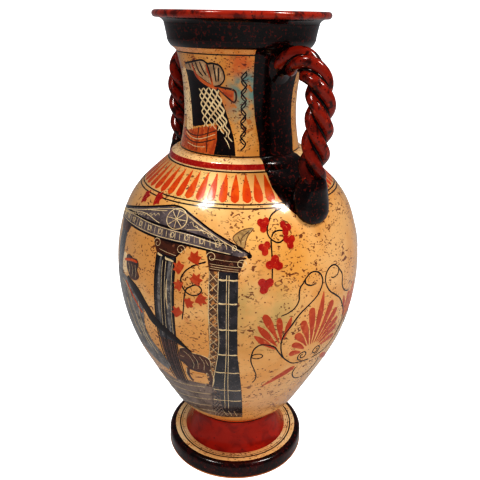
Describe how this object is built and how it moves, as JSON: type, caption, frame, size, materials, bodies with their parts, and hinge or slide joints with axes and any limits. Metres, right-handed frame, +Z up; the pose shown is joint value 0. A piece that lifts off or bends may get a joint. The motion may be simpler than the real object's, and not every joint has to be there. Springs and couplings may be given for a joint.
{
  "type": "amphora",
  "caption": "Free-standing ceramic amphora with an open throat, a flaring mouth, a disc foot and twisted rope handles from neck to shoulder.",
  "frame": {"origin": "centre of the foot's resting plane, on the pot's turning axis", "axes": "+Z up along the turning axis, handles along +X and -X, the painted front panel faces -Y"},
  "size_m": [0.2206, 0.2206, 0.4179],
  "materials": {
    "painted_clay": "varnished speckled clay with painted slip",
    "black_glaze": "glossy black slip with red mottling",
    "red_glaze": "glossy iron-red slip",
    "mottled_glaze": "glossy red-brown slip with black mottling"
  },
  "bodies": {
    "root": {"foot_disc": "black_glaze", "foot_stem": "red_glaze", "body_lower": "painted_clay", "body_upper": "painted_clay", "neck_collar": "red_glaze", "neck": "painted_clay", "mouth": "black_glaze", "lip": "red_glaze", "left_handle_upper_root": "black_glaze", "left_handle_strand_1": "mottled_glaze", "left_handle_strand_2": "mottled_glaze", "left_handle_strand_3": "mottled_glaze", "left_handle_lower_root": "black_glaze", "right_handle_upper_root": "black_glaze", "right_handle_strand_1": "mottled_glaze", "right_handle_strand_2": "mottled_glaze", "right_handle_strand_3": "mottled_glaze", "right_handle_lower_root": "black_glaze"}
  },
  "joints": []
}
